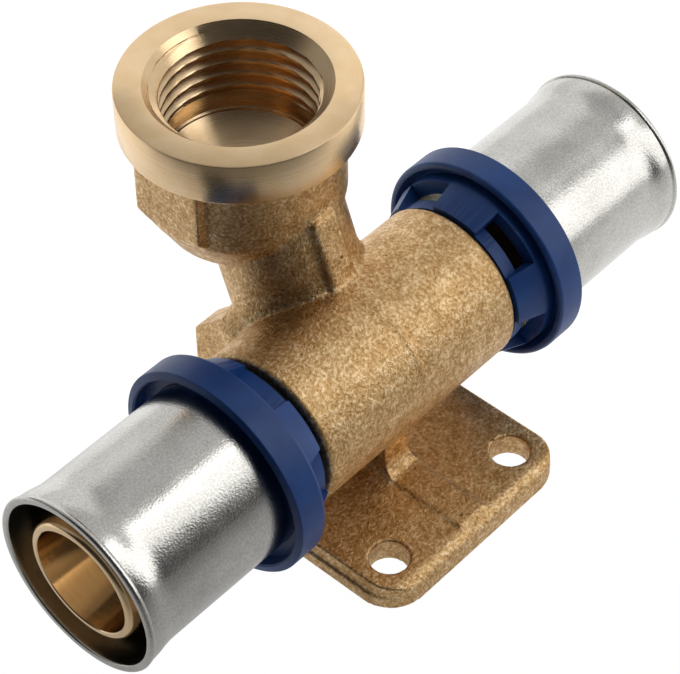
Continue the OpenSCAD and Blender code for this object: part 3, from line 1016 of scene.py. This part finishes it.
@dataclass(frozen=True)
class Studio:
    """A white sweep with soft boxes, and the camera that took the photograph."""

    focal_px: float = 2599.83
    azimuth: float = 47.342
    elevation: float = 46.530
    roll: float = -0.731
    distance: float = 312.341
    aim_right: float = -2.3626
    aim_up: float = 2.0407
    width_px: float = 680.0
    table_grey: float = 0.45
    table_glow: float = 0.95
    table_white: float = 1.08
    seen_white: float = 0.86

    def camera_axes(self) -> tuple[Vector, Vector, Vector]:
        """Returns the camera's right, up and forward directions."""
        az, el, roll = (math.radians(v) for v in (self.azimuth, self.elevation, self.roll))
        right = Vector((math.cos(az), -math.sin(az), 0.0))
        away = Vector((math.sin(az), math.cos(az), 0.0))
        up = Vector((0.0, 0.0, 1.0))
        forward = away * math.cos(el) - up * math.sin(el)
        camera_up = away * math.sin(el) + up * math.cos(el)
        return (right * math.cos(roll) + camera_up * math.sin(roll),
                camera_up * math.cos(roll) - right * math.sin(roll), forward)

    def place_camera(self, axis_h: float) -> None:
        """Puts the camera where the photograph was taken from.

        Args:
            axis_h: height of the pipe axis, which the camera was measured from, in millimetres.
        """
        right, up, forward = self.camera_axes()
        data = bpy.data.cameras.new("camera")
        data.sensor_width = 36.0
        data.sensor_fit = "HORIZONTAL"
        data.lens = data.sensor_width * self.focal_px / self.width_px
        data.clip_start = 0.01
        data.clip_end = 20.0
        camera = bpy.data.objects.new("camera", data)
        bpy.context.scene.collection.objects.link(camera)
        middle = Vector((0.0, 0.0, axis_h))
        eye = right * self.aim_right + up * self.aim_up - forward * self.distance + middle
        turn = Matrix((right, up, -forward)).transposed().to_4x4()
        camera.matrix_world = Matrix.Translation(eye / 1000.0) @ turn
        bpy.context.scene.camera = camera

    def lay_floor(self) -> None:
        """Lays the white table that the plate rests on, lit from below and brighter behind the part."""
        clear_selection()
        bpy.ops.mesh.primitive_plane_add(size=4.0, location=(0.0, 0.0, -0.0001))
        floor = bpy.context.object
        floor.name = "floor"
        material = bpy.data.materials.new("white_sweep")
        material.use_nodes = True
        tree = material.node_tree
        tree.nodes.clear()
        behind = reach_along(tree, object_point(tree), (4.8, 5.87, 0.0))
        diffuse = add_node(tree, "ShaderNodeBsdfDiffuse", {"Color": (*(self.table_grey,) * 3, 1.0)})
        lit = spread(tree, behind, -0.57, 0.38, 0.0, self.table_glow)
        glow = add_node(tree, "ShaderNodeEmission", {"Color": linear("#FFFFFF"), "Strength": lit})
        table = add_node(tree, "ShaderNodeAddShader", {0: diffuse.outputs[0], 1: glow.outputs[0]})
        white = add_node(tree, "ShaderNodeEmission", {"Color": linear("#FFFFFF"), "Strength": self.table_white})
        path = add_node(tree, "ShaderNodeLightPath")
        share = add_node(tree, "ShaderNodeMath", {0: path.outputs["Is Camera Ray"], 1: self.seen_white},
                         operation="MULTIPLY")
        mix = add_node(tree, "ShaderNodeMixShader", {0: share.outputs[0], 1: table.outputs[0], 2: white.outputs[0]})
        add_node(tree, "ShaderNodeOutputMaterial", {"Surface": mix.outputs[0]})
        floor.data.materials.append(material)

    def hang_lights(self) -> None:
        """Hangs the soft boxes: a key above the front, a low one beside it and a wide panel behind."""
        boxes = [
            Softbox("key_box", -42.2, 59.8, 388.0, -41.6, 172.0, 64.0, 1.5),
            Softbox("low_box", -52.0, 31.0, 312.0, 13.4, 149.0, 385.0, 1.7),
            Softbox("back_panel", 49.7, 21.0, 469.0, -14.4, 505.0, 382.0, 0.45),
        ]
        for box in boxes:
            box.hang()

    def light_world(self) -> None:
        """Fills the room with soft grey light, darker in front and near the table, and white to the camera."""
        world = bpy.data.worlds.new("room")
        bpy.context.scene.world = world
        world.use_nodes = True
        tree = world.node_tree
        tree.nodes.clear()
        direction = add_node(tree, "ShaderNodeTexCoord").outputs["Generated"]
        height = add_node(tree, "ShaderNodeSeparateXYZ", {0: direction}).outputs["Z"]
        # One side wall is a little brighter than the other, and the front is almost dark.
        side = reach_along(tree, direction, (0.257, -0.132, 0.0))
        front = reach_along(tree, direction, (-0.69, -0.72, 0.0))
        wall = add_node(tree, "ShaderNodeMath", {0: spread(tree, height, 0.0, 0.5, 0.426, 0.524), 1: side},
                        operation="ADD")
        level = times(tree, wall.outputs[0], spread(tree, front, -0.176, 0.124, 1.0, 0.1))
        room = add_node(tree, "ShaderNodeBackground", {"Color": linear("#FFFFFF"), "Strength": level})
        white = add_node(tree, "ShaderNodeBackground", {"Color": linear("#FFFFFF"), "Strength": 1.0})
        path = add_node(tree, "ShaderNodeLightPath")
        mix = add_node(tree, "ShaderNodeMixShader",
                       {0: path.outputs["Is Camera Ray"], 1: room.outputs[0], 2: white.outputs[0]})
        add_node(tree, "ShaderNodeOutputWorld", {"Surface": mix.outputs[0]})
        bpy.context.scene.view_settings.view_transform = "Standard"


# ---------------------------------------------------------------- assembly


@dataclass
class WallPlate:
    """The whole fitting: body, press ends, rings, washers and seals."""

    layout: Layout = field(default_factory=Layout)

    def stand_for(self, piece: bpy.types.Object, slot: str, *nodes: str) -> None:
        """Makes a piece stand for nodes of the solid model and logs it.

        Args:
            piece: the finished piece.
            slot: not used.
            nodes: the nodes that it replaces.
        """
        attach(piece, "root")
        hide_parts(*nodes)
        piece.data.calc_loop_triangles()
        LOG.info("%s: %d triangles, for %s", piece.name, len(piece.data.loop_triangles), " and ".join(nodes))

    def build_body(self) -> None:
        """Builds the casting and the parts of it that are turned."""
        place = self.layout
        rough = SandCastBrass("sand_cast_brass").build()
        bore = TurnedBrass("turned_brass_outlet", centre=(0.0, place.outlet_offset, 0.0), along="Z").build()
        shank = TurnedBrass("turned_brass_nipple", centre=(0.0, 0.0, place.axis_h), along="X",
                            pull=0.6, rough=0.15).build()
        self.stand_for(Casting(place).build(rough), "cast_brass", "body", "neck_and_outlet")
        self.stand_for(WallFoot().build(rough), "cast_brass", "wall_foot")
        self.stand_for(OutletTurning(place).build(bore), "cast_brass", "neck_and_outlet")
        for side in Side:
            self.stand_for(Nipple(place, side).build(shank), "cast_brass", "body")

    def build_ends(self) -> None:
        """Builds the sleeve and the retaining ring of both ends.

        The right ring reaches nearer the tube by a skirt, and the left one has shorter windows.
        A tooth's angle is counted from level behind, over the top, to the front.
        """
        steel = SatinStainless("satin_stainless").build()
        blue = MouldedPlastic("blue_glass_filled_nylon").build()
        for side, middle, skirt, wall in ((Side.LEFT, 134.5, 0.0, 2.0), (Side.RIGHT, 91.5, 0.7, 1.1)):
            self.stand_for(PressSleeve(self.layout, side).build(steel), "stainless", f"{side.word}_sleeve")
            ring = RetainingRing(self.layout, side, middle, skirt=skirt, low_wall_t=wall)
            self.stand_for(ring.build(blue), "blue_plastic", f"{side.word}_retaining_ring")

    def dress_small_parts(self) -> None:
        """Gives the washers and the seals their finishes."""
        black = MouldedPlastic("black_washer_plastic", base="#111214", worn="#1A1B1E", rough=0.5).build()
        rubber = SealRubber("seal_rubber").build()
        for side in Side:
            dress(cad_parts[f"{side.word}_washer"], black)
            for place in ("inner", "outer"):
                dress(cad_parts[f"{side.word}_{place}_seal"], rubber)


def main() -> None:
    """Builds the part and its studio, and logs each piece's triangle count."""
    logging.basicConfig(level=logging.INFO, format="%(message)s")
    part = WallPlate()
    studio = Studio()
    part.build_body()
    part.build_ends()
    part.dress_small_parts()
    studio.place_camera(part.layout.axis_h)
    studio.lay_floor()
    studio.hang_lights()
    studio.light_world()
    clear_selection()


if __name__ == "__main__":
    main()
